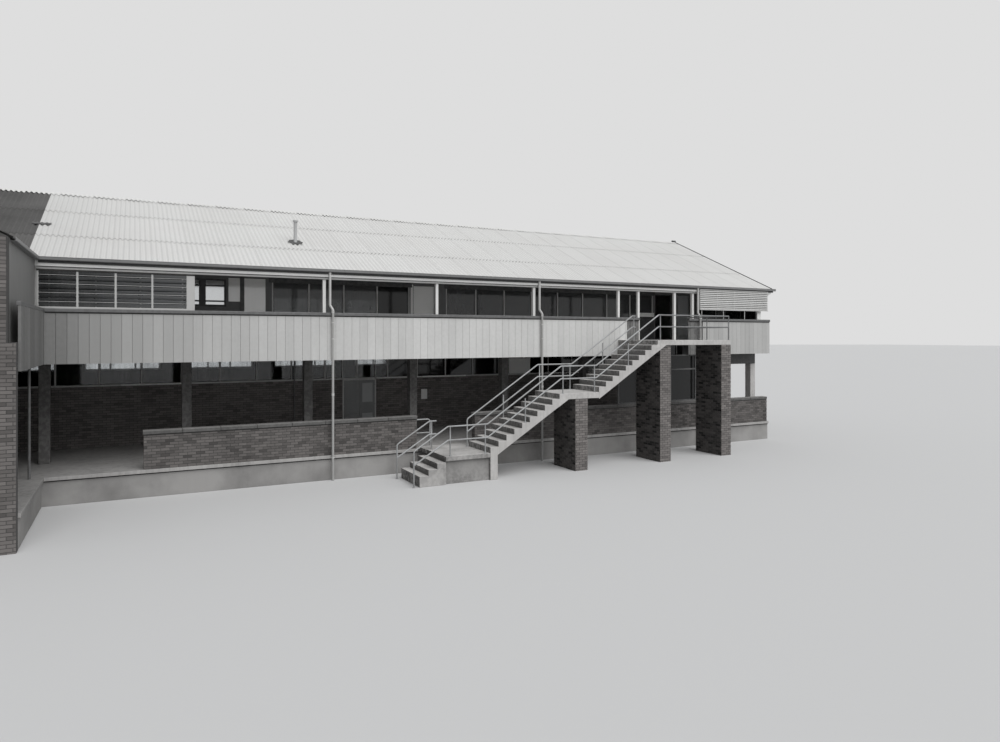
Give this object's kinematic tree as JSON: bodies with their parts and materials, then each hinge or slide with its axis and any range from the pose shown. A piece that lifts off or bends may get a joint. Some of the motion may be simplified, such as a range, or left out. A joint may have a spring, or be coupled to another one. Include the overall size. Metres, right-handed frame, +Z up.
{
  "type": "school building",
  "caption": "Long two-storey school block with an open boarded verandah over a brick undercroft, gabled corrugated roof and an outside concrete stair.",
  "frame": {"origin": "middle of the footprint, at the lowest ground that the walls and piers meet", "axes": "+X along the front towards the right-hand gable, +Y from the front into the building, +Z up"},
  "size_m": [32.795, 16.14, 9.644],
  "materials": {
    "render": "cement render, stained",
    "concrete": "cast concrete",
    "concrete_pale": "cast concrete, worn pale",
    "brick": "face brick in mortar",
    "coping": "concrete coping",
    "boards_light": "painted upright boards",
    "boards_old": "older painted boards",
    "trim_white": "white gloss paint",
    "trim_grey": "grey gloss paint",
    "wall_panel": "painted sheet panel",
    "door_paint": "dark gloss paint",
    "frame_paint": "painted window timber",
    "window_glass": "window glass",
    "louvre_glass": "obscure louvre glass",
    "roof_new": "fibre cement sheet, weathered pale",
    "roof_old": "fibre cement sheet, dark with age",
    "gutter_paint": "painted steel",
    "pipe_white": "painted steel pipe",
    "rail_paint": "painted steel tube, worn",
    "hood_white": "painted metal slats"
  },
  "bodies": {
    "building": {"plinth": "render", "ground_slab": "concrete", "low_walls": "brick", "low_wall_copings": "coping", "ground_columns": "concrete", "end_column": "concrete_pale", "end_beam": "concrete", "ground_front_wall": "brick", "ground_rear_wall": "brick", "ground_end_wall": "brick", "ground_window_frames": "frame_paint", "ground_window_glass": "window_glass", "door_frame": "frame_paint", "party_walls": "brick", "upper_slab": "concrete", "band_front": "boards_light", "old_band_panels": "boards_old", "band_returns": "boards_light", "cap_rail_front": "trim_grey", "cap_rail_returns": "trim_grey", "verandah_posts": "trim_white", "eave_beam": "trim_grey", "wing_wall_panel": "wall_panel", "fascia": "trim_white", "gutters": "gutter_paint", "verandah_ceiling": "trim_grey", "inner_wall": "wall_panel", "classroom_doors": "door_paint", "upper_rear_wall": "boards_light", "upper_end_wall": "boards_light", "upper_window_frames": "frame_paint", "upper_window_glass": "window_glass", "louvre_frame": "trim_white", "louvre_blades": "louvre_glass", "sunhood": "hood_white", "roof_front_new": "roof_new", "roof_front_old": "roof_old", "roof_wing": "roof_old", "roof_rear": "roof_new", "ridge_cap": "roof_new", "barge_boards": "trim_white", "vent_pipe": "gutter_paint", "downpipes": "pipe_white", "bottom_steps": "concrete_pale", "lower_landing": "concrete_pale", "lower_flight": "concrete_pale", "middle_landing": "concrete_pale", "upper_flight": "concrete_pale", "top_landing": "concrete_pale", "stair_piers": "brick", "outer_handrail": "rail_paint", "landing_end_rail": "rail_paint", "inner_foot_rail": "rail_paint", "gap_rail": "rail_paint", "inner_handrail": "rail_paint"},
    "left_leaf": {"door_leaf_left": "door_paint"},
    "right_leaf": {"door_leaf_right": "door_paint"}
  },
  "joints": [
    {"name": "left_leaf_hinge", "type": "hinge", "parent": "building", "child": "left_leaf", "pos_m": [-2.1995, 1.116, 1.795], "axis": [0, 0, -1], "range_deg": [0, 95]},
    {"name": "right_leaf_hinge", "type": "hinge", "parent": "building", "child": "right_leaf", "pos_m": [-0.8955, 1.116, 1.795], "axis": [0, 0, 1], "range_deg": [0, 95]}
  ]
}
